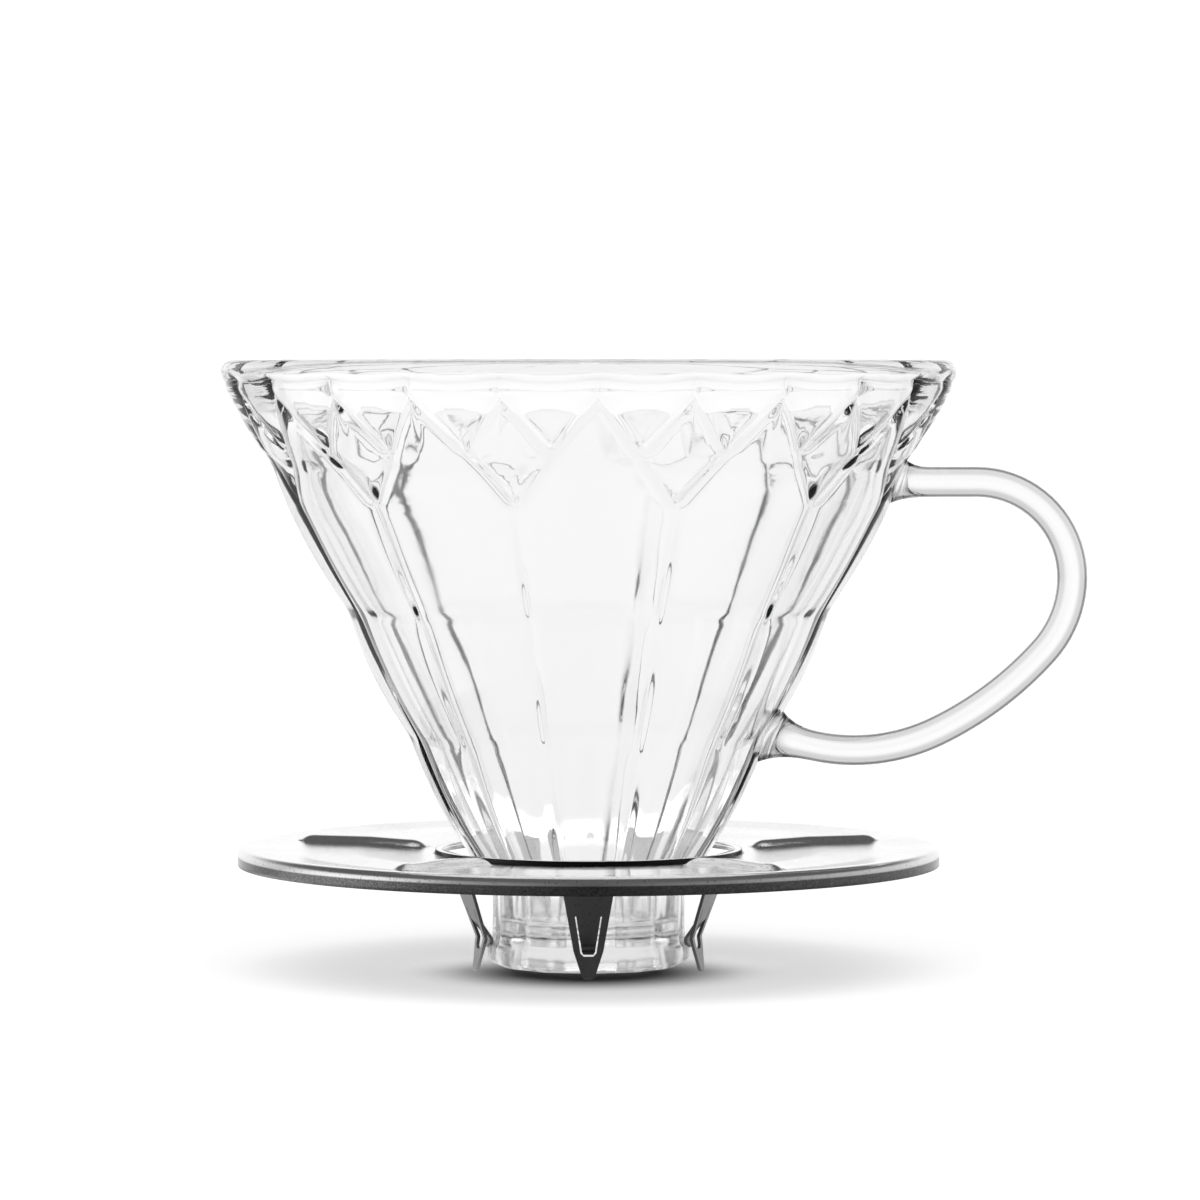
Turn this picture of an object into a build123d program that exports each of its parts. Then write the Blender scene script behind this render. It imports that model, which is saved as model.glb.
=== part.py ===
"""Glass pour over dripper on a sprung steel holder.

Millimetres, +Z up. The origin is the centre of the glass outlet's mouth, the front
is -Y and the handle points along +X. The holder stands on its claw tips.
"""
from build123d import *
import os
from math import cos, radians, sin

# Glass cone: base line of the outer wall, which the cut pattern rises and falls about
SHOULDER_Z = 12.3            # where the neck opens into the cone
SHOULDER_R = 15.2
WALL_SLOPE = 0.5215          # radius gained for each millimetre of height
FLUTES = 12                  # long flutes around the cone
FLUTE_STEP = 360 / FLUTES
RIM_R = 58.0
RIM_TOP_Z = 95.8
RIM_BEAD_R = 1.9

# Long flutes, as height, relief on the crest and relief in the groove: the crests swell and pinch in
FLUTE_LEVELS = (
    (SHOULDER_Z, 0.0, -0.7),
    (17.8, 0.3, -1.6),
    (26.0, 0.6, -0.6),
    (35.6, -0.2, -1.5),
    (46.0, 0.5, -0.4),
    (55.9, -0.1, -1.5),
    (65.0, 0.5, -0.3),
    (73.6, 0.1, -1.0),
)

# Diamonds and hanging triangles above the flutes, as height and relief
DIAMOND_CORNER = (81.6, -0.9)
DIAMOND_MIDDLE = (81.6, 0.3)
TRIANGLE_SWELL = (87.0, 0.4)
NICK = (90.3, -0.9)
COLLAR = (91.9, -0.9)        # top of the cut wall, inside the rim bead

# Inside of the glass
THROAT_R = 9.0
THROAT_Z = 5.5               # ledge between the throat and the skirt
CONE_FLOOR_Z = 7.0           # where the inner cone starts
SKIRT_INNER_R = 12.8

# Neck bead, which the holder's springs grip above
BEAD_R = 16.0
BEAD_Z = 2.4
BEAD_HALF_HEIGHT = 1.1
FOOT_R = 14.0
FOOT_CORNER = (15.5, 1.0)
NECK_OVERLAP = 0.6           # how far the neck runs into the cut wall

# Handle: one glass rod, bent in the XZ plane
ROD_R = 2.4
HANDLE_TOP_Z = 76.0
HANDLE_START_X = 46.0
HANDLE_BEND_X = 61.4
HANDLE_ARCS = ((15.1, 90), (17.5, 42), (55.0, 22), (30.0, 38))    # radius, turn
HANDLE_TAIL = 8.0
TOP_FOOT = (3.5, 7.5)        # radius at the wall, length
TAIL_FOOT = (4.5, 9.0)
FOOT_FULL_SHARE = 0.35       # share of a foot's length at its full radius
FOOT_WAIST_SHARE = 0.65
FOOT_WAIST_INSET = 0.3
FOOT_TOE_INSET = 0.1         # the foot's thin end, just inside the rod

# Steel holder
SHEET = 0.5
PLATE_R = 55.5
PLATE_TOP_Z = 18.35
FLANGE_BOTTOM_Z = 16.1
HOLE_R = 23.2
LIP_R = 24.8
LIP_TOP_Z = 18.5
LIP_STEP = 0.75              # radius over which the lip drops into its groove
LIP_GROOVE_DEPTH = 0.55
DISC_FLAT_R = (30.0, 51.0)   # flat ring of the disc
EDGE_BEAD_R = 53.0           # where the raised edge starts
EDGE_RISE = 0.62
PLATE_BENDS = (0.35, 0.35, 4, 4, 2, 1.1)
CLAWS = 5
CLAW_STEP = 360 / CLAWS
RIB_LENGTH = 21.5
RIB_WIDTH = 5.6
RIB_HEIGHT = 1.1
RIB_MIDDLE_R = 38.0
RIB_DRAFT = 30               # degrees

CUT_REACH = 6                # half width of a strip before it is trimmed to its outline
CLAW_REACH = 40              # radial reach of the outline that trims it

# Claws: the sheet's middle line in a radial plane, and widths seen from outside
CLAW_TIP_Z = -0.4
CLAW_TIP_R = 18.9
CLAW_KNEE = (17.73, 4.9)
CLAW_SLOPE = 0.343
CLAW_HALF_WIDTHS = ((18.5, 4.85), (4.0, 2.35), (-0.1, 1.0), (CLAW_TIP_Z, 0.6))    # height, half width
CLAW_BENDS = (0.7, 0.8)
HOOK_PLAY = 0.05             # between the lip and the claw's top edge

# Spring tongues, cut out of the claws and bent inwards
TONGUE_ROOT_Z = 9.5
TONGUE_BEND_Z = 7.8
TONGUE_NOSE = (16.0, 4.1)
TONGUE_END = (17.05, 3.5)
TONGUE_HALF_ROOT = 1.9
TONGUE_HALF_END = 1.05
TONGUE_HALF_WIDTHS = ((TONGUE_ROOT_Z, TONGUE_HALF_ROOT), (3.8, TONGUE_HALF_END), (3.0, 0.65))
TONGUE_BENDS = (2.0, 0.8)
SLIT = 0.2
SLOT_BOTTOM_Z = 3.1
SLOT_CORNER = 0.5


def base_radius(z):
    """Radius of the glass wall's base line at a height."""
    return SHOULDER_R + (z - SHOULDER_Z) * WALL_SLOPE


def ring(level, first_angle, count):
    """Points of the cut pattern on a level, which is a height and a relief on the base line."""
    z, relief = level
    radius = base_radius(z) + relief
    angles = [radians(first_angle + step * 360 / count) for step in range(count)]
    return [Vector(radius * cos(angle), radius * sin(angle), z) for angle in angles]


def triangle(a, b, c):
    """One flat facet."""
    return Face(Wire.make_polygon([a, b, c], close=True))


def fan(middle, corners):
    """Facets from a middle point to each side of a closed outline."""
    following = corners[1:] + corners[:1]
    return [triangle(middle, a, b) for a, b in zip(corners, following)]


def flute_facets():
    """The 12 long flutes, from the shoulder up to the points between the diamonds."""
    rings = []
    for z, crest, groove in FLUTE_LEVELS:
        crests = ring((z, crest), 0, FLUTES)
        grooves = ring((z, groove), FLUTE_STEP / 2, FLUTES)
        rings.append([point for pair in zip(crests, grooves) for point in pair])
    facets = []
    for low, high in zip(rings, rings[1:]):
        for i in range(len(low)):
            j = (i + 1) % len(low)
            facets.append(triangle(low[i], low[j], high[j]))
            facets.append(triangle(low[i], high[j], high[i]))
    facets.append(Face(Wire.make_polygon(rings[0], close=True)))
    return facets, rings[-1]


def diamond_facets(top_ring):
    """The flute heads, diamonds and hanging triangles up to the rim."""
    count = 2 * FLUTES
    step = 360 / count
    corners = ring(DIAMOND_CORNER, step / 2, count)
    middles = ring(DIAMOND_MIDDLE, 0, count)
    swells = ring(TRIANGLE_SWELL, step / 2, count)
    nicks = ring(NICK, 0, count)
    collar = ring(COLLAR, 0, count)
    facets = []
    for i in range(count):
        after = (i + 1) % count
        before = (i - 1) % count
        if i % 2:
            outline = [nicks[i], corners[before], top_ring[i], corners[i]]
        else:
            outline = [nicks[i], corners[before], top_ring[before], top_ring[i]]
            outline += [top_ring[after], corners[i]]
        facets += fan(middles[i], outline)
        facets += fan(swells[i], [nicks[i], corners[i], nicks[after]])
        facets.append(triangle(nicks[i], nicks[after], collar[after]))
        facets.append(triangle(nicks[i], collar[after], collar[i]))
    facets.append(Face(Wire.make_polygon(collar, close=True)))
    return facets


def revolved(*points):
    """Solid turned about Z from a radius and height outline."""
    outline = Plane.XZ * make_face(Polyline(*points, close=True))
    return revolve(outline, Axis.Z)


def glass_envelope():
    """Everything that the outside of the glass encloses, without its hollow."""
    flutes, top_ring = flute_facets()
    cut_wall = Solid(Shell(flutes + diamond_facets(top_ring)))
    bead_profile = Plane.XZ * Pos(RIM_R - RIM_BEAD_R, RIM_TOP_Z - RIM_BEAD_R) * Circle(RIM_BEAD_R)
    rim_bead = revolve(bead_profile, Axis.Z)
    core_z = COLLAR[0] - 1
    rim_core = Pos(0, 0, core_z) * extrude(Circle(RIM_R - RIM_BEAD_R), RIM_TOP_Z - core_z)
    neck = revolved(
        (0, 0), (FOOT_R, 0), FOOT_CORNER, (BEAD_R, BEAD_Z), (SHOULDER_R, BEAD_Z + BEAD_HALF_HEIGHT),
        (SHOULDER_R, SHOULDER_Z), (SHOULDER_R - NECK_OVERLAP, SHOULDER_Z + NECK_OVERLAP),
        (0, SHOULDER_Z + NECK_OVERLAP),
    )
    return cut_wall + rim_core + rim_bead + neck


def glass_hollow():
    """Inner cone, throat and skirt."""
    above = RIM_TOP_Z + 1
    cone_top_r = THROAT_R + (above - CONE_FLOOR_Z) * WALL_SLOPE
    return revolved(
        (0, -1), (SKIRT_INNER_R, -1), (SKIRT_INNER_R, THROAT_Z), (THROAT_R, THROAT_Z),
        (THROAT_R, CONE_FLOOR_Z), (cone_top_r, above), (0, above),
    )


def handle_rod(envelope):
    """Bent rod with a flared foot at each end, melted onto the cone."""
    pieces = [Line((HANDLE_START_X, HANDLE_TOP_Z), (HANDLE_BEND_X, HANDLE_TOP_Z))]
    for radius, turn in HANDLE_ARCS:
        last = pieces[-1]
        pieces.append(JernArc(last @ 1, last % 1, radius, -turn))
    tail_start = pieces[-1] @ 1
    tail_way = pieces[-1] % 1
    pieces.append(Line(tail_start, tail_start + tail_way * HANDLE_TAIL))
    runs = [Plane.XZ * piece for piece in pieces]
    rod = Part()
    for run in runs:
        rod += sweep(Plane(run @ 0, z_dir=run % 0) * Circle(ROD_R), path=run)
    top_foot = Plane(runs[0] @ 0, z_dir=runs[0] % 0) * foot(*TOP_FOOT)
    tail_foot = Plane(runs[-1] @ 1, z_dir=-(runs[-1] % 1)) * foot(*TAIL_FOOT)
    return rod + top_foot + tail_foot - envelope


def foot(wall_radius, length):
    """Trumpet that narrows from the wall to the rod, along local Z."""
    waist = (wall_radius + ROD_R) / 2 - FOOT_WAIST_INSET
    profile = Polyline(
        (0, 0), (wall_radius, 0), (wall_radius, length * FOOT_FULL_SHARE), (waist, length * FOOT_WAIST_SHARE),
        (ROD_R - FOOT_TOE_INSET, length), (0, length), close=True,
    )
    return revolve(Plane.XZ * make_face(profile), Axis.Z)


def sheet_profile(points, radii):
    """Cross-section of the steel sheet along a middle line with bends."""
    return Plane.XZ * trace(FilletPolyline(*points, radius=radii), SHEET)


def holder_plate():
    """Dished disc with a raised lip round its hole, five embossed ribs and a turned-down edge."""
    middle_z = PLATE_TOP_Z - SHEET / 2
    lip_z = LIP_TOP_Z - SHEET / 2
    edge_z = middle_z + EDGE_RISE
    edge_r = PLATE_R - SHEET / 2
    points = (
        (HOLE_R, lip_z), (LIP_R - LIP_STEP, lip_z), (LIP_R, middle_z - LIP_GROOVE_DEPTH),
        (DISC_FLAT_R[0], middle_z), (DISC_FLAT_R[1], middle_z),
        (EDGE_BEAD_R, edge_z), (edge_r, edge_z), (edge_r, FLANGE_BOTTOM_Z),
    )
    plate = revolve(sheet_profile(points, PLATE_BENDS), Axis.Z)
    blank = SlotOverall(RIB_LENGTH, RIB_WIDTH)
    hollow = SlotOverall(RIB_LENGTH - 2 * SHEET, RIB_WIDTH - 2 * SHEET)
    bottom_z = PLATE_TOP_Z - SHEET
    for index in range(CLAWS):
        place = Rot(0, 0, -90 + CLAW_STEP * (index + 0.5)) * Pos(RIB_MIDDLE_R, 0, bottom_z)
        raised = extrude(blank, RIB_HEIGHT + SHEET, taper=RIB_DRAFT)
        recess = extrude(hollow, RIB_HEIGHT, taper=RIB_DRAFT)
        plate = plate + place * raised - place * recess
    return plate


def outline_prism(half_outline):
    """Prism along the radial direction from height and half width pairs, both sides of the middle."""
    right = [(half, z) for z, half in half_outline]
    left = [(-half, z) for z, half in reversed(half_outline)]
    face = make_face(Polyline(*right, *left, close=True))
    return extrude(Plane.YZ * face, CLAW_REACH)


def slot_prism():
    """Opening that the tongue was cut from."""
    half_root = TONGUE_HALF_ROOT + SLIT
    half_end = TONGUE_HALF_END + SLIT
    return outline_prism((
        (TONGUE_ROOT_Z, half_root), (SLOT_BOTTOM_Z + SLOT_CORNER, half_end),
        (SLOT_BOTTOM_Z, half_end - SLOT_CORNER),
    ))


def claw(plate):
    """One leg of the holder, along +X: bent down from the lip, with a knee and a flared tip."""
    lip_z = LIP_TOP_Z - SHEET / 2
    root_r = CLAW_KNEE[0] + (lip_z - CLAW_KNEE[1]) * CLAW_SLOPE
    points = ((HOLE_R + HOOK_PLAY, lip_z), (root_r, lip_z), CLAW_KNEE, (CLAW_TIP_R, CLAW_TIP_Z - 1))
    strip = extrude(sheet_profile(points, CLAW_BENDS), CUT_REACH, both=True)
    outline = ((LIP_TOP_Z + 1, CLAW_HALF_WIDTHS[0][1]),) + CLAW_HALF_WIDTHS
    return strip & outline_prism(outline) - slot_prism() - plate


def tongue():
    """Spring tongue, along +X: leans in to a rounded nose and hooks back out."""
    bend_r = CLAW_KNEE[0] + (TONGUE_BEND_Z - CLAW_KNEE[1]) * CLAW_SLOPE
    above_r = CLAW_KNEE[0] + (TONGUE_ROOT_Z + 1 - CLAW_KNEE[1]) * CLAW_SLOPE
    points = ((above_r, TONGUE_ROOT_Z + 1), (bend_r, TONGUE_BEND_Z), TONGUE_NOSE, TONGUE_END)
    strip = extrude(sheet_profile(points, TONGUE_BENDS), CUT_REACH, both=True)
    return strip & outline_prism(TONGUE_HALF_WIDTHS)


os.makedirs("parts", exist_ok=True)
envelope = glass_envelope()
plate = holder_plate()
nodes = {
    "glass_cone": envelope - glass_hollow(),
    "handle_rod": handle_rod(envelope),
    "holder_plate": plate,
}
for index in range(CLAWS):
    turn = Rot(0, 0, -90 + CLAW_STEP * index)
    nodes[f"claw_{index + 1}"] = turn * claw(turn.inverse() * plate)
    nodes[f"spring_tongue_{index + 1}"] = turn * tongue()
for name, shape in nodes.items():
    export_step(shape, f"parts/{name}.step")
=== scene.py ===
"""Looks of the glass pour over dripper: cut glass, its handle, the sprung steel holder and a studio."""
import math

import bmesh
import bpy
import numpy as np
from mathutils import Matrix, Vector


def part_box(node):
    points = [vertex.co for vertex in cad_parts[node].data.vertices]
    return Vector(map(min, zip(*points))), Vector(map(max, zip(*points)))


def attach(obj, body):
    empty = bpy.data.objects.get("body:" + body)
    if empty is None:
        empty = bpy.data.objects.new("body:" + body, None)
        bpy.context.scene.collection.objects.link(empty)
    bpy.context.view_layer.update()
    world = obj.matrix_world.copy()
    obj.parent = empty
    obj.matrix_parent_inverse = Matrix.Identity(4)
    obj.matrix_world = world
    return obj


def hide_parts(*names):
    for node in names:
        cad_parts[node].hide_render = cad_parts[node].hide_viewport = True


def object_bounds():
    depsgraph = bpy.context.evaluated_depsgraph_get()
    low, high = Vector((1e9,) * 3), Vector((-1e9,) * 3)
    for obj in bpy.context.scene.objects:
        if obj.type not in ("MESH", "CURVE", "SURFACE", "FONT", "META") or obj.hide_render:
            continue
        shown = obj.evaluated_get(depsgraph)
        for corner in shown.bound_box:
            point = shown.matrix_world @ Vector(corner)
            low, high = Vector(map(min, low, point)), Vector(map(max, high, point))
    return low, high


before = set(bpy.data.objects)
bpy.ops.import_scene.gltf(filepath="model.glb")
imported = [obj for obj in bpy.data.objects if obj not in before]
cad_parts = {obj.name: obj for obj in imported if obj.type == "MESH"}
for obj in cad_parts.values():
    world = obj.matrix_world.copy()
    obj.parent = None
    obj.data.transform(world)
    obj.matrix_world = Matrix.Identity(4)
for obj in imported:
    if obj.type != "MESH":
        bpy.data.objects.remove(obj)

CAD_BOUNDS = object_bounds()
MM = 0.001

# ---------------------------------------------------------------- glass cone, in millimetres and degrees
GLASS_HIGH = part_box("glass_cone")[1] / MM
RIM_R = GLASS_HIGH.x
RIM_TOP = GLASS_HIGH.z
BEAD_R = 1.9
SHOULDER_Z = 12.3
SHOULDER_R = 15.2
WALL_SLOPE = 0.5215
SLANT = math.hypot(1, WALL_SLOPE)
WALL = 2.8                    # horizontal thickness of the wall

# The cut pattern: angles run from a flute's crest to the groove beside it
HALF_STEP = 15.0
HALF_STEPS_ROUND = 24
CORNER_ANGLE = 7.5
PATTERN_TURN = 1.5            # degrees that the glass is turned from the holder
LOW_WAIST_Z = 36.5
HIGH_WAIST_Z = 56.3
APEX_Z = 73.6
CORNER_Z = 81.6
NICK_Z = 90.3
WALL_TOP_Z = 91.3
BEAD_FOOT_Z = 92.4
BELOW_GLASS = -20.0

# The wall bulges in four tiers: height and crest's distance from the base line at each waist
WAISTS = ((SHOULDER_Z, 0.0), (LOW_WAIST_Z, 0.7), (HIGH_WAIST_Z, 0.0), (79.5, -0.1), (91.6, 0.9))
BULGES = (1.45, 1.12, 1.25, 0.6)
WAIST_ROUNDING = 0.2

# The facets fall from their middles to the creases
FLUTE_FALL = 0.5              # at a waist
FALL_WITH_SWELL = 0.6         # more for each millimetre that the crests stand out
FULL_FALL_R = 34.0            # wall radius above which the flutes have their whole fall
LEAST_FALL = 0.6              # share of it where the wall is narrow
CUT_FALL = 0.45
NECK_FALL = 0.5
FLUTE_SPAN = 0.95             # share of the half step that the fall takes up
CUT_SPAN = 4.6
SPAN_CHANGE = (68.0, 82.0)    # heights between which the spans change over
CUT_FALL_FROM = APEX_Z - 5
NECK_FALL_BELOW = (SHOULDER_Z + 8, SHOULDER_Z - 2)
OUTER_ROUNDING = 0.1
INNER_ROUNDING = 1.2

# The grooves along the creases
TIER_EDGES = (SHOULDER_Z, LOW_WAIST_Z, HIGH_WAIST_Z, APEX_Z, CORNER_Z, NICK_Z)
CUT_TIERS_FROM = 3
FLARE = (0.05, 0.85)          # how far up a tier its grooves start to widen and are widest
CLOSING = (1.0, 0.9)          # how far up they close again
CLOSING_TIERS = 2             # how many of the lowest tiers close
SHALLOW_FOOT = 0.1            # how far up a tier its grooves are shallower
SHALLOW_SHARE = 0.5
FLUTE_GROOVE = (0.5, 0.2, 0.75, 0.8)    # depth, its loss up a tier, half width, its gain up a tier
CUT_GROOVE = (0.6, 0.3, 1.3, -0.4)
NECK_GROOVE = (0.55, 1.0)               # depth and half width
NECK_GROOVE_BELOW = (SHOULDER_Z + 6, SHOULDER_Z - 4)
GROOVE_BOTTOM_R = 0.12
GROOVE_CURVE = 1.25

# The lower edge of the rim's bead rises at each nick, between these heights
RIM_WAVE = 0.4
WAVE_STARTS = (90.8, 92.2)
WAVE_ENDS = (94.4, 92.8)

# Rows and columns of the cone's mesh
WALL_FOOT_Z = SHOULDER_Z + 0.6
TIER_ROWS = (24, 19, 16, 8, 12)
EDGE_ROWS = 6
EDGE_REACH = 1.0
NICK_ROWS = 4
BEAD_ARC = (-50, 190, 24)     # degrees at its ends, and its rows
BEAD_RELIEF = 0.9             # share of the relief that runs on under the bead
BEAD_FADE = (0.1, -0.8)       # where it fades, as shares of the bead's radius above its middle
INNER_ROWS_LEFT_OUT = 5
INNER_RELIEF = 0.92           # how closely the inside follows the outside
COLUMN_GAP = 3                # how close the bands of columns come to a crest or groove, in its radii
FLUTE_COLUMNS = 12
FACET_COLUMNS = 8
DIAMOND_COLUMNS = 8
FLUTE_CROWDING = 2.2
DIAMOND_CROWDING = 1.8

NECK_TOP = 0.2                # how far above the shoulder the wall's inside turns into the neck
# From there round the throat's ledge, the skirt and the neck's bead to the shoulder:
# radius, height, and shares of the outer and inner relief
NECK_LINE = ((SHOULDER_R + NECK_TOP * WALL_SLOPE - WALL, SHOULDER_Z + NECK_TOP, 0.0, 0.9),
             (12.4, 9.6, 0.0, 0.9), (12.2, 7.2, 0.0, 0.7), (9.4, 6.8, 0.0, 0.0), (9.0, 6.2, 0.0, 0.0),
             (9.4, 5.6, 0.0, 0.0), (12.8, 5.5, 0.0, 0.7), (12.8, 0.6, 0.0, 0.5), (13.2, 0.0, 0.0, 0.5),
             (14.6, 0.0, 0.2, 0.5), (16.1, 1.0, 0.8, 0.0), (16.1, 3.2, 0.9, 0.0),
             (SHOULDER_R, 4.0, 1.0, 0.0), (SHOULDER_R, 12.0, 1.0, 0.0))

# ---------------------------------------------------------------- glass handle, in millimetres and degrees
HANDLE_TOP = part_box("handle_rod")[1].z / MM
ROD_R = 2.4
ROD_START_X = 54.0
ROD_BEND_X = 61.4
ROD_BENDS = ((15.1, 90), (17.5, 42), (55.0, 22), (30.0, 38))    # radius and turn of each arc
ROD_COLUMNS = 36
STRAIGHT_RINGS = 8
BEND_RING_STEP = 1.2
LEAST_BEND_RINGS = 6
TOP_FOOT_R = 3.4
TAIL_FOOT_R = 4.4
FOOT_RINGS = 10
FOOT_FLARE = 2.6              # power of the trumpet's curve
CAP_RINGS = 4
CAP_SET_BACK = 3              # how far outside the foot the search for its cap starts
WALL_SINK = 0.05              # how far the feet stay inside the wall's surface
WALL_SEARCH = 30.0            # how far along the rod's direction the wall is looked for
WALL_SEARCH_STEPS = 40

# ---------------------------------------------------------------- holder plate, in millimetres
SHEET = 0.5
PLATE_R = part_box("holder_plate")[1].x / MM
EDGE_TOP = 18.93
FLANGE_BOTTOM = 16.1
PLATE_COLUMNS = 540
PLATE_ROW_STEP = 0.5
FILLET_STEP = 7               # degrees
RIB_COUNT = 5
RIB_ENDS = (27.25, 48.75)
RIB_HALF_WIDTH = 2.8
RIB_HEIGHT = 1.1
RIB_CROWN = 2.5
# Upper side of the sheet from the hole to the flange's foot: radius, height and fillet radius
PLATE_TOP_LINE = ((23.2, 18.05, 0), (23.2, 18.5, 0.2), (24.3, 18.5, 0.1), (24.45, 17.75, 0.15),
                  (37.0, 18.35, 20), (46.5, 18.35, 20), (53.3, EDGE_TOP, 10), (PLATE_R, EDGE_TOP, 1.35),
                  (PLATE_R, FLANGE_BOTTOM, 0.12))
# Lower side, back from the flange's foot to the hole
PLATE_LOW_LINE = ((PLATE_R - SHEET, FLANGE_BOTTOM, 0.12), (PLATE_R - SHEET, EDGE_TOP - SHEET, 0.85),
                  (53.3, EDGE_TOP - SHEET, 10), (46.5, 17.85, 20), (37.0, 17.85, 20), (24.1, 17.25, 0.1),
                  (24.0, 18.03, 0.08), (23.2, 18.05, 0))

# ---------------------------------------------------------------- looks of the glass
# Painted shade on the glass: how much light gets through where it is seen face on (0) to edge on (1); the
# darker edges and the rod's grey bands stand in for the studio's dim sides seen through it
WALL_EDGE_SHADE = ((0.0, 0.99), (0.5, 0.977), (1.0, 0.67))
ROD_EDGE_SHADE = ((0.0, 0.99), (0.06, 0.985), (0.16, 0.6), (0.28, 0.7), (0.36, 0.95), (0.48, 0.16), (0.6, 0.12),
            (0.75, 0.7), (1.0, 0.9))
GLASS_IOR = 1.474
SOFT_BELOW = 15.0             # height under which the glass may be softer, in millimetres

# ---------------------------------------------------------------- looks of the steel, in millimetres
# How softly the painted shade low down outside a radius fades in, by height and by radius
SPLIT_FADE = 0.1
OUTER_SHADE_FADE = 0.3
CREVICE_SHADE_OUTER = 0.4           # half widths of the ring of painted shade in a recess, where it starts and is whole
CREVICE_SHADE_INNER = 0.15

# ---------------------------------------------------------------- studio
# Brightness round the studio by direction: 0 degrees is the backdrop, 90 the right and -90 the left
SURROUND = ((-180, 0.08), (-135, 0.3), (-105, 0.95), (-80, 0.95), (-62, 0.5), (-40, 0.82), (-20, 0.99),
            (-6, 1.07), (6, 1.07), (20, 0.97), (40, 0.82), (60, 0.6), (90, 0.42), (135, 0.2), (180, 0.08))
THROUGH_LIFT = 0.3            # share of white added to what is seen through the glass
ROOF = 0.1                    # brightness overhead, for mirror reflections
ROOF_HEIGHTS = (0.25, 0.5)    # how steeply up it starts and is whole, as heights of a unit direction
OVERHEAD = 0.75               # brightness overhead towards the back, mostly for what is seen through
OVERHEAD_HEIGHTS = (0.1, 0.9)
OVERHEAD_DEPTHS = (-0.7, 0.1)
CANOPY = ((0.0, 0.45), (1.0, 0.88))    # light that falls on rough surfaces, from the horizon to overhead
BACKDROP = 1.05

# The floor's painted glow and painted shadow, by distance in metres from a point just in front of the
# neck's middle
SHADOW_MIDDLE = (0, -0.008, 0)
SHADOW_CORE = (0.01, 0.03)
SHADOW_EDGE = (0.045, 0.085)
FLOOR_GLOW = 0.56
GLOW_LOST = 0.16
FLOOR_SHADES = ((0.0, 0.1), (0.45, 0.95))
FLOOR_HALF_WIDTH = 8000       # millimetres
# What is seen of it through the glass, as a painted glow with painted shade close to the neck: brightness
# close to the neck, and where the studio's takes over
NEAR_FLOOR = 0.82
NEAR_FLOOR_RADII = (0.05, 0.11)
FAR_FLOOR_RADII = (0.3, 1.5)

LENS = 170.8
SENSOR = 36
CAMERA_DISTANCE = 0.9
CAMERA_SIDE = 0.0018
CAMERA_ABOVE_RIM = 1.55       # millimetres
CAMERA_PITCH = 2.514          # degrees


def smoothstep(low, high, value):
    """0 at low, 1 at high, with an even ease between; low may be the larger of the two."""
    t = np.clip((value - low) / (high - low), 0, 1)
    return t * t * (3 - 2 * t)


def ease(count):
    """Shares from 0 to 1, closer together at both ends."""
    return (1 - np.cos(np.linspace(0, math.pi, count))) / 2


# ---------------------------------------------------------------- meshes
def new_object(name, vertices, faces, material, smooth=True):
    """Mesh object from points in millimetres."""
    mesh = bpy.data.meshes.new(name)
    mesh.from_pydata((np.asarray(vertices, float) * MM).tolist(), [], faces)
    mesh.validate()
    bm = bmesh.new()
    bm.from_mesh(mesh)
    bmesh.ops.recalc_face_normals(bm, faces=bm.faces)
    bm.to_mesh(mesh)
    bm.free()
    mesh.polygons.foreach_set("use_smooth", [smooth] * len(mesh.polygons))
    mesh.materials.append(material)
    piece = bpy.data.objects.new(name, mesh)
    bpy.context.scene.collection.objects.link(piece)
    return piece


def grid_faces(rows, columns, close_rows):
    """Quads of a grid whose columns go all the way round."""
    faces = []
    for row in range(rows if close_rows else rows - 1):
        after = (row + 1) % rows
        for column in range(columns):
            beside = (column + 1) % columns
            faces.append((row * columns + column, row * columns + beside,
                          after * columns + beside, after * columns + column))
    return faces


# ---------------------------------------------------------------- relief of the cut glass
def base_radius(z):
    """Radius of the wall's base line at a height."""
    return SHOULDER_R + (z - SHOULDER_Z) * WALL_SLOPE


def tier_share(z, edges):
    """How far a height is up its own tier, from 0 at its foot to 1 at its head, and the tier's number."""
    edges = np.array(edges)
    index = np.clip(np.searchsorted(edges, z, side="right") - 1, 0, len(edges) - 2)
    return np.clip((z - edges[index]) / (edges[index + 1] - edges[index]), 0, 1), index


def swell(z):
    """How far the crests stand out from the base line: each tier bulges between two waists."""
    heights, values = np.array(WAISTS).T
    share, index = tier_share(z, heights)
    bulge = np.array(BULGES)[index] * 4 * share * (1 - share)
    chord = values[index] + (values[index + 1] - values[index]) * share
    return chord + np.sqrt(bulge ** 2 + WAIST_ROUNDING ** 2) - WAIST_ROUNDING


def pillow_depth(z):
    """How far the facets fall from their middles to the creases."""
    narrow = np.clip(base_radius(z) / FULL_FALL_R, LEAST_FALL, 1)
    flutes = (FLUTE_FALL + FALL_WITH_SWELL * swell(z)) * narrow
    top = smoothstep(CUT_FALL_FROM, CORNER_Z, z)
    neck = smoothstep(*NECK_FALL_BELOW, z)
    return (flutes * (1 - top) + CUT_FALL * top) * (1 - neck) + NECK_FALL * neck


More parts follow.
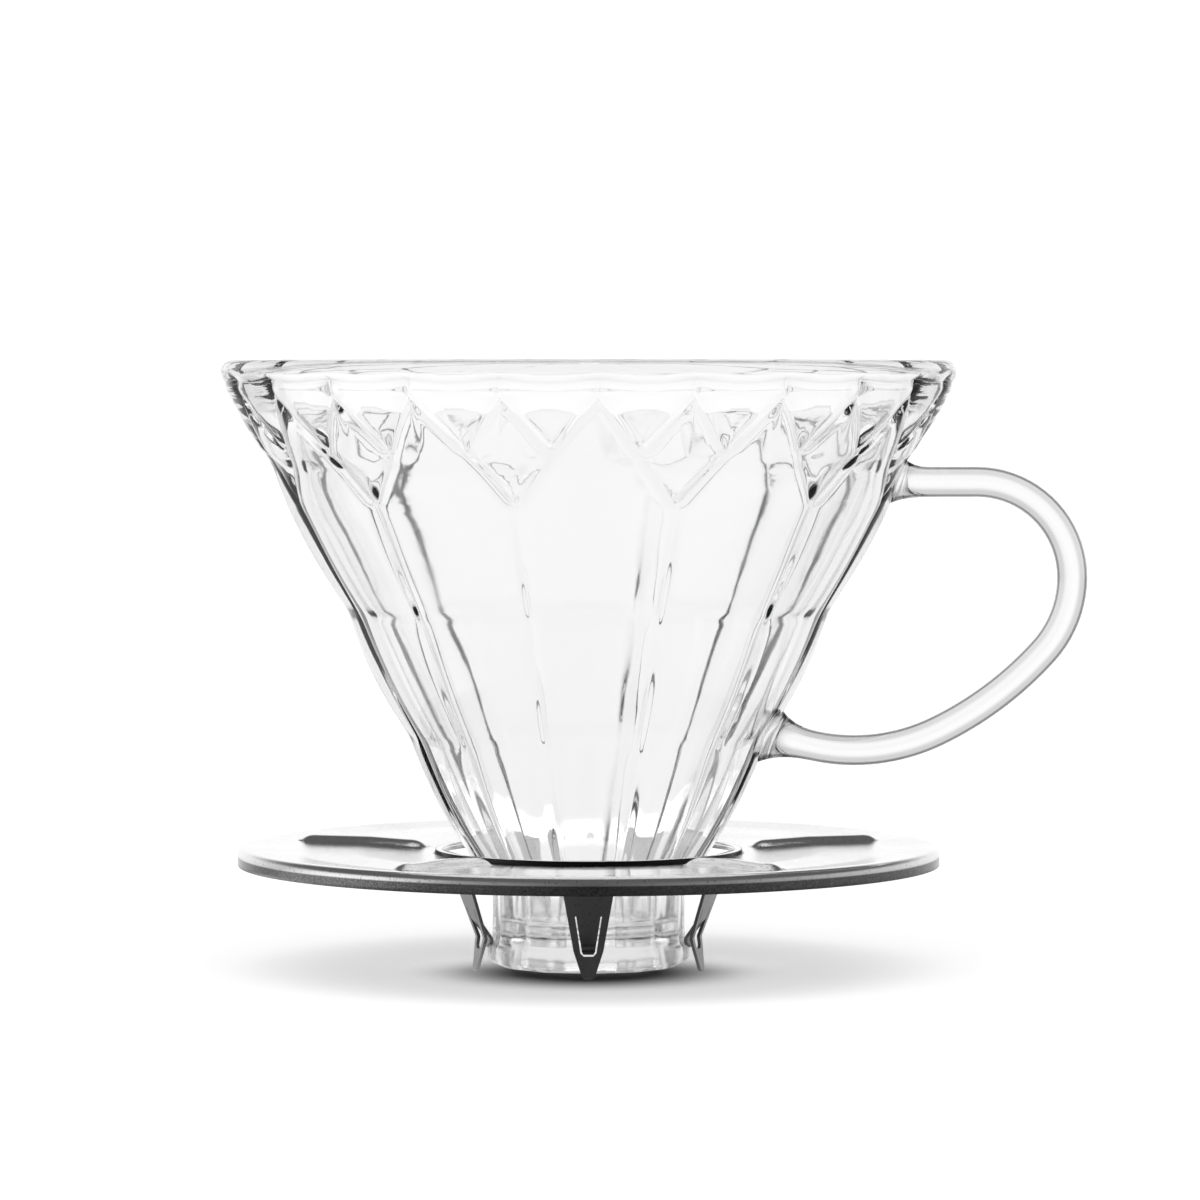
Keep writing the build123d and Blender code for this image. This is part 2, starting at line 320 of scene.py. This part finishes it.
def groove_size(z):
    """Depth and half width of the groove along each crease: it narrows and steepens down every tier."""
    share, index = tier_share(z, TIER_EDGES)
    cut = index >= CUT_TIERS_FROM
    closing = np.where(index < CLOSING_TIERS, smoothstep(*CLOSING, share), 1.0)
    flare = smoothstep(*FLARE, share) * closing
    depth, loss, half_width, gain = FLUTE_GROOVE
    cut_depth, cut_loss, cut_half_width, cut_gain = CUT_GROOVE
    width = np.where(cut, cut_half_width + cut_gain * share, half_width + gain * flare)
    depth = np.where(cut, cut_depth - cut_loss * share, depth - loss * share)
    depth = depth * (SHALLOW_SHARE + (1 - SHALLOW_SHARE) * smoothstep(0.0, SHALLOW_FOOT, share))
    neck = smoothstep(*NECK_GROOVE_BELOW, z)
    return depth * (1 - neck) + NECK_GROOVE[0] * neck, width * (1 - neck) + NECK_GROOVE[1] * neck


def segment_distance(x, y, x0, y0, x1, y1):
    """Distance from points to a straight crease."""
    along_x, along_y = x1 - x0, y1 - y0
    t = np.clip(((x - x0) * along_x + (y - y0) * along_y) / (along_x ** 2 + along_y ** 2), 0, 1)
    return np.hypot(x - x0 - t * along_x, y - y0 - t * along_y)


def crease_distance(angle, z):
    """Distance along the wall to the nearest crease, for a folded angle of 0 to 15 degrees."""
    scale = np.radians(1) * base_radius(z)
    x = angle * scale
    y = z * SLANT
    half, corner, crest = HALF_STEP * scale, CORNER_ANGLE * scale, 0 * scale
    apex_y, corner_y, nick_y, bead_y = (level * SLANT for level in (APEX_Z, CORNER_Z, NICK_Z, BEAD_FOOT_Z))
    return np.minimum.reduce([
        segment_distance(x, y, half, BELOW_GLASS, half, apex_y),
        segment_distance(x, y, half, apex_y, corner, corner_y),
        segment_distance(x, y, corner, corner_y, half, nick_y),
        segment_distance(x, y, corner, corner_y, crest, nick_y),
        segment_distance(x, y, half, nick_y, half, bead_y),
        segment_distance(x, y, crest, nick_y, crest, bead_y),
    ])


def rounded(distance, rounding):
    """The distance with its sharp start rounded off."""
    return np.sqrt(distance ** 2 + rounding ** 2) - rounding


def pillow(angle, z, rounding):
    """Depth of the facets' curve below their middles, as a negative distance."""
    distance = rounded(crease_distance(angle, z), rounding)
    flute_width = FLUTE_SPAN * np.radians(HALF_STEP) * base_radius(np.maximum(z, SHOULDER_Z))
    width = flute_width + (CUT_SPAN - flute_width) * smoothstep(*SPAN_CHANGE, z)
    return -pillow_depth(z) * (1 - np.clip(distance / width, 0, 1)) ** 2


def groove(angle, z):
    """Depth of the cut along the creases, as a negative distance."""
    depth, width = groove_size(z)
    distance = rounded(crease_distance(angle, z), GROOVE_BOTTOM_R)
    return -depth * (1 - np.clip(distance / width, 0, 1)) ** GROOVE_CURVE


def outer_relief(folded, z):
    """Whole relief of the outside at folded angles and heights."""
    return pillow(folded, z, OUTER_ROUNDING) + groove(folded, z)


def outer_radius(angle, z):
    """Outside radius of the wall at an angle in degrees from the handle, for fitting the handle's feet."""
    turned = (angle - PATTERN_TURN) % (2 * HALF_STEP)
    folded = min(turned, 2 * HALF_STEP - turned)
    return float(base_radius(z) + swell(z) + outer_relief(np.array(folded), np.array(z)))


def rim_wave(folded, z):
    """Rise of the rim bead's lower edge at each nick."""
    window = smoothstep(*WAVE_STARTS, z) * smoothstep(*WAVE_ENDS, z)
    return RIM_WAVE * window * np.cos(2 * math.pi * folded / HALF_STEP) ** 3


# ---------------------------------------------------------------- the cone's mesh
def column_angles(z):
    """Folded angles of the mesh columns at a height: they follow the creases."""
    radius = base_radius(np.clip(z, SHOULDER_Z, NICK_Z))
    hair = math.degrees(GROOVE_BOTTOM_R / radius)
    edge = COLUMN_GAP * hair
    if z <= CORNER_Z:
        lift = min(max((z - APEX_Z) / (CORNER_Z - APEX_Z), 0), 1)
        middle = HALF_STEP - (HALF_STEP - CORNER_ANGLE) * lift
        spread = hair
    else:
        lift = min((z - CORNER_Z) / (NICK_Z - CORNER_Z), 1)
        middle = CORNER_ANGLE
        spread = max(hair, CORNER_ANGLE * lift)
    middle = min(middle, HALF_STEP - edge - hair)
    low = max(middle - spread, edge)
    high = min(middle + spread, HALF_STEP - edge)
    flute = low * (1 - np.linspace(1, 0, FLUTE_COLUMNS) ** FLUTE_CROWDING)[:-1]
    facet = low + (high - low) * ease(FACET_COLUMNS)[:-1]
    diamond = high + (HALF_STEP - high) * np.linspace(0, 1, DIAMOND_COLUMNS) ** DIAMOND_CROWDING
    return np.concatenate([flute, facet, diamond])


def full_turn(half):
    """Angles round the whole circle, and their folded angles, from one half step."""
    folded = np.concatenate([half, half[-2:0:-1]])
    unfolded = np.concatenate([half, 2 * HALF_STEP - half[-2:0:-1]])
    turns = np.arange(HALF_STEPS_ROUND // 2) * 2 * HALF_STEP
    angles = (turns[:, None] + unfolded[None, :]).ravel()
    return angles, np.tile(folded, len(turns))


def round_corners(points, rounds=2):
    """Corner cutting on an open outline."""
    points = np.array(points, float)
    for _ in range(rounds):
        near = points[:-1] * 0.75 + points[1:] * 0.25
        far = points[:-1] * 0.25 + points[1:] * 0.75
        middle = np.stack([near, far], axis=1).reshape(-1, points.shape[1])
        points = np.vstack([points[:1], middle, points[-1:]])
    return points


def wall_heights():
    """Heights of the mesh rows up the outside wall, closer together where two tiers meet."""
    foot = WALL_FOOT_Z
    stretches = []
    for edge, count in zip(TIER_EDGES[1:-1], TIER_ROWS):
        below, above = edge - EDGE_REACH, edge + EDGE_REACH
        stretches += [(foot, below, count), (below, above, EDGE_ROWS)]
        foot = above
    stretches += [(foot, NICK_Z, TIER_ROWS[-1]), (NICK_Z, WALL_TOP_Z, NICK_ROWS)]
    return np.unique(np.concatenate([np.linspace(*stretch) for stretch in stretches]))


def glass_rows():
    """Rows of the cone's closed outline: radius, height, and shares of the outer and inner relief."""
    rows = [(base_radius(z) + swell(z), z, 1.0, 0.0) for z in wall_heights()]
    bead_r, bead_z = RIM_R - BEAD_R, RIM_TOP - BEAD_R
    for degrees in np.linspace(*BEAD_ARC):
        angle = math.radians(degrees)
        share = BEAD_RELIEF * smoothstep(*BEAD_FADE, math.sin(angle)) if degrees < 90 else 0.0
        rows.append((bead_r + BEAD_R * math.cos(angle), bead_z + BEAD_R * math.sin(angle), share, 0.0))
    for z in wall_heights()[::-1][INNER_ROWS_LEFT_OUT:]:
        rows.append((base_radius(z) - WALL + INNER_RELIEF * swell(z), z, 0.0, INNER_RELIEF))
    return rows + [tuple(row) for row in round_corners(NECK_LINE)]


def build_cone(material):
    """The cut glass cone as one closed mesh."""
    vertices = []
    rows = glass_rows()
    crown = max(range(len(rows)), key=lambda index: rows[index][1])
    for index, (radius, z, outer, inner) in enumerate(rows):
        angles, folded = full_turn(column_angles(z))
        heights = np.full(len(folded), z)
        radii = radius + outer * outer_relief(folded, heights)
        radii = radii + inner * pillow(folded, heights, INNER_ROUNDING)
        if index < crown:
            heights = heights + rim_wave(folded, z)
        turn = np.radians(angles + PATTERN_TURN)
        vertices.append(np.stack([radii * np.cos(turn), radii * np.sin(turn), heights], axis=1))
    faces = grid_faces(len(rows), len(vertices[0]), True)
    return new_object("cut_glass_cone", np.vstack(vertices), faces, material)


# ---------------------------------------------------------------- the plate's mesh
def filleted(line):
    """Points of an outline whose corners are rounded by their own radii."""
    points = [line[0][:2]]
    for before, corner, after in zip(line, line[1:], line[2:]):
        here = np.array(corner[:2])
        into, out = np.array(before[:2]) - here, np.array(after[:2]) - here
        into, out = into / np.linalg.norm(into), out / np.linalg.norm(out)
        half = math.acos(np.clip(into @ out, -1, 1)) / 2
        set_back = corner[2] / math.tan(half)
        start, end = here + into * set_back, here + out * set_back
        steps = 1 + max(3, round((math.pi - 2 * half) / math.radians(FILLET_STEP)))
        for t in np.linspace(0, 1, steps):
            # a quadratic curve is close enough to an arc for these bends
            points.append(tuple((1 - t) ** 2 * start + 2 * t * (1 - t) * here + t * t * end))
    points.append(line[-1][:2])
    return points


def spaced(points, longest):
    """The outline with extra points wherever two are further apart than longest."""
    result = [points[0]]
    for start, end in zip(points, points[1:]):
        count = max(1, math.ceil(math.dist(start, end) / longest))
        result += [tuple(np.array(start) + (np.array(end) - np.array(start)) * step / count)
                   for step in range(1, count + 1)]
    return result


def rib_height(x, y):
    """How far the embossed ribs stand out of the disc."""
    height = np.zeros_like(x)
    for index in range(RIB_COUNT):
        angle = math.radians(-90 + 360 / RIB_COUNT * (index + 0.5))
        along = x * math.cos(angle) + y * math.sin(angle)
        across = y * math.cos(angle) - x * math.sin(angle)
        beyond = along - np.clip(along, RIB_ENDS[0] + RIB_HALF_WIDTH, RIB_ENDS[1] - RIB_HALF_WIDTH)
        reach = np.clip(np.hypot(beyond, across) / RIB_HALF_WIDTH, 0, 1)
        height = np.maximum(height, RIB_HEIGHT * (1 - reach ** RIB_CROWN))
    return height


def build_plate(material):
    """The stamped disc as one closed sheet."""
    upper, lower = (spaced(filleted(line), PLATE_ROW_STEP) for line in (PLATE_TOP_LINE, PLATE_LOW_LINE))
    outline = upper + lower[:-1]
    angles = np.radians(np.linspace(0, 360, PLATE_COLUMNS, endpoint=False))
    vertices = []
    for radius, z in outline:
        x, y = radius * np.cos(angles), radius * np.sin(angles)
        vertices.append(np.stack([x, y, z + rib_height(x, y)], axis=1))
    faces = grid_faces(len(outline), PLATE_COLUMNS, True)
    return new_object("stamped_holder_plate", np.vstack(vertices), faces, material)


# ---------------------------------------------------------------- the handle's mesh
def handle_route():
    """Centre line of the bent rod in the XZ plane: its points, with its direction at each."""
    x, z = ROD_BEND_X, HANDLE_TOP - ROD_R
    heading = 0.0
    points = [(step, z, heading) for step in np.linspace(ROD_START_X, x, STRAIGHT_RINGS)]
    for radius, turn in ROD_BENDS:
        count = max(LEAST_BEND_RINGS, int(radius * math.radians(turn) / BEND_RING_STEP))
        start_x, start_z, start = x, z, heading
        for share in np.linspace(0, 1, count + 1)[1:]:
            heading = start + math.radians(turn) * share
            x = start_x + radius * (math.sin(heading) - math.sin(start))
            z = start_z + radius * (math.cos(heading) - math.cos(start))
            points.append((x, z, heading))
    return points


def rod_ring(x, z, heading, radius):
    """Circle across the rod."""
    turn = np.linspace(0, 2 * math.pi, ROD_COLUMNS, endpoint=False)
    across, side = np.cos(turn), np.sin(turn)
    circle = np.stack([math.sin(heading) * across, side, math.cos(heading) * across], axis=1)
    return np.array([x, 0, z]) + radius * circle


def trim_to_wall(points, way):
    """Moves points along a direction until they lie just inside the cone's outer wall."""
    trimmed = []
    for point in points:
        low, high = 0.0, WALL_SEARCH
        for _ in range(WALL_SEARCH_STEPS):
            middle = (low + high) / 2
            spot = point + way * middle
            angle = math.degrees(math.atan2(spot[1], spot[0]))
            inside = math.hypot(spot[0], spot[1]) < outer_radius(angle, spot[2]) - WALL_SINK
            low, high = (low, middle) if inside else (middle, high)
        trimmed.append(point + way * low)
    return np.array(trimmed)


def foot_rings(ring_at, way, foot_r):
    """Rings from the rod to the wall: the rod flares like a trumpet and meets the wall exactly."""
    widest = ring_at(foot_r)
    travel = (trim_to_wall(widest, way) - widest) @ way
    rings = []
    for share in np.linspace(0, 1, FOOT_RINGS + 1)[1:]:
        radial = ring_at(ROD_R + (foot_r - ROD_R) * share ** FOOT_FLARE)
        rings.append(radial + np.outer(travel * share, way))
    return rings


def wall_cap(ring, way):
    """Rings that close a foot against the wall, and the point in their middle."""
    centre = ring.mean(axis=0)
    outside = way * CAP_SET_BACK
    rings = [trim_to_wall(centre + (ring - centre) * share - outside, way)
             for share in np.linspace(1, 0, CAP_RINGS + 1)[1:-1]]
    return rings, trim_to_wall(np.array([centre - outside]), way)[0]


def handle_foot(place, way_sign, foot_r):
    """Rings of the flared foot at one end of the rod, and the point in its middle."""
    x, z, heading = place
    way = way_sign * np.array([math.cos(heading), 0, -math.sin(heading)])
    rings = foot_rings(lambda radius: rod_ring(x, z, heading, radius), way, foot_r)
    cap, middle = wall_cap(rings[-1], way)
    return rings + cap, middle


def build_handle(material):
    """Bent glass rod with a flared foot at each end."""
    route = handle_route()
    top, top_middle = handle_foot(route[0], -1, TOP_FOOT_R)
    tail, tail_middle = handle_foot(route[-1], 1, TAIL_FOOT_R)
    rings = top[::-1] + [rod_ring(x, z, heading, ROD_R) for x, z, heading in route] + tail
    vertices = np.vstack(rings + [[top_middle], [tail_middle]])
    faces = grid_faces(len(rings), ROD_COLUMNS, False)
    top_point, tail_point = len(vertices) - 2, len(vertices) - 1
    base = (len(rings) - 1) * ROD_COLUMNS
    for column in range(ROD_COLUMNS):
        beside = (column + 1) % ROD_COLUMNS
        faces.append((beside, column, top_point))
        faces.append((base + column, base + beside, tail_point))
    return new_object("bent_glass_handle", vertices, faces, material)


# ---------------------------------------------------------------- shader nodes
def feed(tree, node, inputs):
    """Sets a node's inputs: each is given as a value or as the socket that feeds it."""
    for name, value in inputs.items():
        if isinstance(value, bpy.types.NodeSocket):
            tree.links.new(value, node.inputs[name])
        else:
            node.inputs[name].default_value = value


def add_node(tree, kind, inputs, **settings):
    """New shader node with its inputs and settings."""
    node = tree.nodes.new("ShaderNode" + kind)
    for name, value in settings.items():
        setattr(node, name, value)
    feed(tree, node, inputs)
    return node


def remap(tree, value, low, high, to_low=0.0, to_high=1.0, curve="LINEAR"):
    """A value moved from one range to another and held at the ends; low may be the larger of the two."""
    inputs = {"Value": value, "From Min": low, "From Max": high, "To Min": to_low, "To Max": to_high}
    return add_node(tree, "MapRange", inputs, interpolation_type=curve).outputs["Result"]


def calculate(tree, operation, first, second=0.0, clamp=False):
    """Result of one operation on two numbers."""
    inputs = {0: first, 1: second}
    return add_node(tree, "Math", inputs, operation=operation, use_clamp=clamp).outputs["Value"]


def mix_colours(tree, factor, first, second):
    """Mix of two colours, where 0 is the first."""
    inputs = {"Factor": factor, "A": first, "B": second}
    return add_node(tree, "Mix", inputs, data_type="RGBA").outputs["Result"]


def mix_shaders(tree, factor, first, second):
    """Mix of two shaders, where 0 is the first."""
    return add_node(tree, "MixShader", {"Fac": factor, 1: first, 2: second}).outputs["Shader"]


def grey(value):
    """A grey colour with full alpha."""
    return (value, value, value, 1)


def ramp(tree, source, stops):
    """Grey ramp through its stops, each a position and a brightness."""
    node = add_node(tree, "ValToRGB", {"Fac": source})
    elements = node.color_ramp.elements
    while len(elements) < len(stops):
        elements.new(0.5)
    for element, (position, value) in zip(elements, stops):
        element.position = position
        element.color = grey(value)
    return node.outputs["Color"]


def own_place(tree):
    """Place in the object's own coordinates, in metres."""
    return add_node(tree, "TexCoord", {}).outputs["Object"]


def parts_of(tree, vector):
    """Outputs X, Y and Z of a vector."""
    return add_node(tree, "SeparateXYZ", {"Vector": vector}).outputs


def noise(tree, scale, detail, stretch=(1, 1, 1)):
    """Noise in the object's own coordinates, in cycles for each metre."""
    mapping = add_node(tree, "Mapping", {"Vector": own_place(tree), "Scale": stretch})
    inputs = {"Vector": mapping.outputs["Vector"], "Scale": scale, "Detail": detail}
    return add_node(tree, "TexNoise", inputs).outputs["Fac"]


def bump(tree, height, strength, distance):
    """Normal of a surface with fine relief, whose depth is in metres."""
    inputs = {"Height": height, "Strength": strength, "Distance": distance}
    return add_node(tree, "Bump", inputs).outputs["Normal"]


def new_material(name):
    """Material with one plain shader: the material, its node tree and the shader."""
    material = bpy.data.materials.new(name)
    material.use_nodes = True
    tree = material.node_tree
    tree.nodes.clear()
    shader = add_node(tree, "BsdfPrincipled", {})
    add_node(tree, "OutputMaterial", {"Surface": shader.outputs["BSDF"]})
    return material, tree, shader


# ---------------------------------------------------------------- light by direction and kind of ray
def azimuth(tree, direction):
    """Share of a turn about the upright axis, 0.5 towards the backdrop and less towards the left."""
    parts = parts_of(tree, direction)
    angle = calculate(tree, "ARCTAN2", parts["X"], parts["Y"])
    return remap(tree, angle, -math.pi, math.pi)


def mirror_ray(tree, path):
    """1 for what is mirrored outside the glass, 0 for what is seen through it."""
    rays = path.outputs
    return calculate(tree, "SUBTRACT", rays["Is Glossy Ray"], rays["Is Transmission Ray"], clamp=True)


def surround_colour(tree, direction, mirrored):
    """The studio's brightness by direction, lifted for what is seen through the glass."""
    share = azimuth(tree, direction)
    plain = [(0.5 + degrees / 360, value) for degrees, value in SURROUND]
    lifted = [(place, THROUGH_LIFT + (1 - THROUGH_LIFT) * value) for place, value in plain]
    in_mirror = ramp(tree, share, plain)
    through = ramp(tree, share, lifted)
    return mix_colours(tree, mirrored, through, in_mirror)


# ---------------------------------------------------------------- materials
def glass_material(name, edge_shade_steps, softness):
    """Clear borosilicate with painted shade, darker seen edge on, with a faint ripple, and softer low down
    in the mould.
    """
    material, tree, shader = new_material(name)
    facing = add_node(tree, "LayerWeight", {"Blend": 0.5}).outputs["Facing"]
    smudge = ramp(tree, noise(tree, scale=60, detail=3), [(0.35, 0.035), (0.8, 0.075)])
    height = parts_of(tree, own_place(tree))["Z"]
    soft = remap(tree, height, SOFT_BELOW * MM, SOFT_BELOW * MM / 2, to_high=softness)
    ripple = noise(tree, scale=220, detail=2, stretch=(1, 1, 0.12))
    feed(tree, shader, {
        "IOR": GLASS_IOR,
        "Transmission Weight": 1.0,
        # painted shade: the glass is darker where it is seen edge on
        "Base Color": ramp(tree, facing, edge_shade_steps),
        "Roughness": calculate(tree, "ADD", smudge, soft),
        "Normal": bump(tree, ripple, strength=0.1, distance=0.00015),
    })
    return material


def steel_material(name, light, outer_shade_tone, split, outer_shade_r, crevice_shade_r, roughness, through):
    """Satin stainless sheet with specks and smears.

    It has painted shade, with grain, below the height split and outside outer_shade_r, and in a thin ring
    round the radius crevice_shade_r; the three are in millimetres. Through is how much it glows, as
    painted light, where it is seen through the glass. It throws hardly any light on the floor.
    """
    material, tree, shader = new_material(name)
    rays = add_node(tree, "LightPath", {}).outputs
    parts = parts_of(tree, own_place(tree))
    flat = add_node(tree, "CombineXYZ", {"X": parts["X"], "Y": parts["Y"]}).outputs["Vector"]
    reach = add_node(tree, "VectorMath", {0: flat}, operation="LENGTH").outputs["Value"]
    # Painted shade with grain, low down outside a radius: on the plate, the flange's lower outer face
    below = remap(tree, parts["Z"], (split + SPLIT_FADE) * MM, (split - SPLIT_FADE) * MM)
    outside = remap(tree, reach, outer_shade_r * MM, (outer_shade_r + OUTER_SHADE_FADE) * MM)
    outer_shade = calculate(tree, "MULTIPLY", below, outside)
    speck = noise(tree, scale=2600, detail=3)
    grain = noise(tree, scale=5200, detail=4, stretch=(1, 1, 0.75))
    # The sheet's tone with its specks; the plate's is painted lighter and the claws' darker than bare
    # steel
    sheet_tone = ramp(tree, speck, [(0.28, light * 0.55), (0.4, light), (0.8, min(1.0, light * 1.05))])
    outer_shade_colour = ramp(tree, grain, [(0.3, outer_shade_tone * 0.5), (0.5, outer_shade_tone), (0.7, outer_shade_tone * 1.8)])
    colour = mix_colours(tree, outer_shade, sheet_tone, outer_shade_colour)
    # A thin ring of painted shade in the recess round the given radius
    from_crevice_shade = calculate(tree, "ABSOLUTE", calculate(tree, "SUBTRACT", reach, crevice_shade_r * MM))
    crevice_shade = remap(tree, from_crevice_shade, CREVICE_SHADE_OUTER * MM, CREVICE_SHADE_INNER * MM)
    # Painted shade in that ring, and a near black sheet for light that bounces off it onto the floor
    painted_dark = calculate(tree, "MAXIMUM", crevice_shade, rays["Is Diffuse Ray"])
    smear = noise(tree, scale=90, detail=4)
    feed(tree, shader, {
        "Metallic": 1.0,
        "Emission Color": grey(1),
        # painted light: the sheet glows where it is seen through the glass
        "Emission Strength": remap(tree, rays["Is Transmission Ray"], 0, 1, to_high=through),
        "Base Color": mix_colours(tree, painted_dark, colour, grey(0.03)),
        "Roughness": ramp(tree, smear, [(0.3, roughness * 0.8), (0.75, roughness * 1.25)]),
        "Normal": bump(tree, grain, strength=0.3, distance=0.00003),
    })
    return material


def floor_material():
    """Pale floor with a painted glow and a painted shadow round the neck; in reflections and through the
    glass it has the studio's brightness, as a painted glow.
    """
    material, tree, shader = new_material("pale_floor")
    path = add_node(tree, "LightPath", {})
    place = own_place(tree)
    inputs = {0: place, 1: SHADOW_MIDDLE}
    from_shadow = add_node(tree, "VectorMath", inputs, operation="DISTANCE").outputs["Value"]
    # Painted glow, missing round the neck, which leaves a painted shadow, and a little weaker further out
    core = remap(tree, from_shadow, *SHADOW_CORE, to_high=FLOOR_GLOW, curve="SMOOTHSTEP")
    edge = remap(tree, from_shadow, *SHADOW_EDGE, to_high=GLOW_LOST, curve="SMOOTHSTEP")
    feed(tree, shader, {
        "Roughness": 0.9,
        "Specular IOR Level": 0.0,
        # painted shadow in the floor's colour too
        "Base Color": ramp(tree, core, FLOOR_SHADES),
        "Emission Color": grey(1),
        "Emission Strength": calculate(tree, "SUBTRACT", core, edge),
    })
    mirrored = mirror_ray(tree, path)
    surround = surround_colour(tree, place, mirrored)
    # Painted glow for what the glass and steel see of the floor: the studio's brightness far off, and
    # painted shade close to the neck
    distance = add_node(tree, "VectorMath", {0: place}, operation="LENGTH").outputs["Value"]
    near = remap(tree, distance, *NEAR_FLOOR_RADII, to_low=NEAR_FLOOR)
    far = remap(tree, distance, *FAR_FLOOR_RADII)
    colour = mix_colours(tree, calculate(tree, "MAXIMUM", far, mirrored), near, surround)
    glow = add_node(tree, "Emission", {"Color": colour}).outputs["Emission"]
    surface = mix_shaders(tree, path.outputs["Is Camera Ray"], glow, shader.outputs["BSDF"])
    output = next(node for node in tree.nodes if node.type == "OUTPUT_MATERIAL")
    feed(tree, output, {"Surface": surface})
    return material


# ---------------------------------------------------------------- studio
def build_floor(material):
    """Large pale floor under the claw tips."""
    z = CAD_BOUNDS[0][2] / MM
    signs = ((-1, -1), (1, -1), (1, 1), (-1, 1))
    corners = [(x * FLOOR_HALF_WIDTH, y * FLOOR_HALF_WIDTH, z) for x, y in signs]
    floor = new_object("floor", corners, [(0, 1, 2, 3)], material, smooth=False)


def build_camera():
    """Long lens just above the rim, looking a little down."""
    data = bpy.data.cameras.new("camera")
    data.lens = LENS
    data.sensor_width = SENSOR
    data.clip_start = 0.05
    data.clip_end = 60
    camera = bpy.data.objects.new("camera", data)
    bpy.context.scene.collection.objects.link(camera)
    camera.location = (CAMERA_SIDE, -CAMERA_DISTANCE, (RIM_TOP + CAMERA_ABOVE_RIM) * MM)
    camera.rotation_euler = (math.pi / 2 - math.radians(CAMERA_PITCH), 0, 0)
    bpy.context.scene.camera = camera


def build_world():
    """White backdrop for the camera, a darker studio for reflections and an even canopy for shading."""
    world = bpy.data.worlds.new("studio")
    bpy.context.scene.world = world
    world.use_nodes = True
    tree = world.node_tree
    tree.nodes.clear()
    path = add_node(tree, "LightPath", {})
    direction = add_node(tree, "TexCoord", {}).outputs["Generated"]
    parts = parts_of(tree, direction)
    mirrored = mirror_ray(tree, path)
    surround = surround_colour(tree, direction, mirrored)
    above = remap(tree, parts["Z"], *OVERHEAD_HEIGHTS)
    behind = remap(tree, parts["Y"], *OVERHEAD_DEPTHS)
    colour = mix_colours(tree, calculate(tree, "MULTIPLY", above, behind), surround, grey(OVERHEAD))
    high_up = remap(tree, parts["Z"], *ROOF_HEIGHTS)
    colour = mix_colours(tree, calculate(tree, "MULTIPLY", high_up, mirrored), colour, grey(ROOF))
    studio = add_node(tree, "Background", {"Color": colour}).outputs["Background"]
    canopy = ramp(tree, parts["Z"], CANOPY)
    tent = add_node(tree, "Background", {"Color": canopy}).outputs["Background"]
    backdrop = add_node(tree, "Background", {"Color": grey(1), "Strength": BACKDROP}).outputs["Background"]
    unseen = mix_shaders(tree, path.outputs["Is Diffuse Ray"], studio, tent)
    surface = mix_shaders(tree, path.outputs["Is Camera Ray"], unseen, backdrop)
    add_node(tree, "OutputWorld", {"Surface": surface})


def build_studio():
    """Floor, surround and camera."""
    build_floor(floor_material())
    build_world()
    build_camera()
    bpy.context.scene.view_settings.view_transform = "Standard"


# ---------------------------------------------------------------- assembly
cone = build_cone(glass_material("clear_borosilicate", WALL_EDGE_SHADE, softness=0.13))
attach(cone, "glass")
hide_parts("glass_cone")

handle = build_handle(glass_material("clear_glass_rod", ROD_EDGE_SHADE, softness=0.0))
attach(handle, "glass")
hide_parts("handle_rod")

# The plate's tone is painted lighter than bare steel, as painted light; it also gets painted shade on its
# flange's lower outer face and round the step by the hole, and a painted glow through the glass
plate = build_plate(steel_material("satin_steel_plate", light=0.92, outer_shade_tone=0.19, split=17.6, outer_shade_r=54.5,
                                   crevice_shade_r=24.4, roughness=0.16, through=0.7))
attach(plate, "holder")
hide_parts("holder_plate")

# The claws and tongues get the plate's steel painted darker, as painted shade, and a weaker painted glow
# through the glass
shaded_claw_steel = steel_material("satin_steel_claws_painted_shade", light=0.3, outer_shade_tone=0.3, split=0.0, outer_shade_r=0.0,
                            crevice_shade_r=0.0, roughness=0.3, through=0.4)
for name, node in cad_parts.items():
    if name.startswith(("claw", "spring_tongue")):
        node.data.materials.clear()
        node.data.materials.append(shaded_claw_steel)

build_studio()
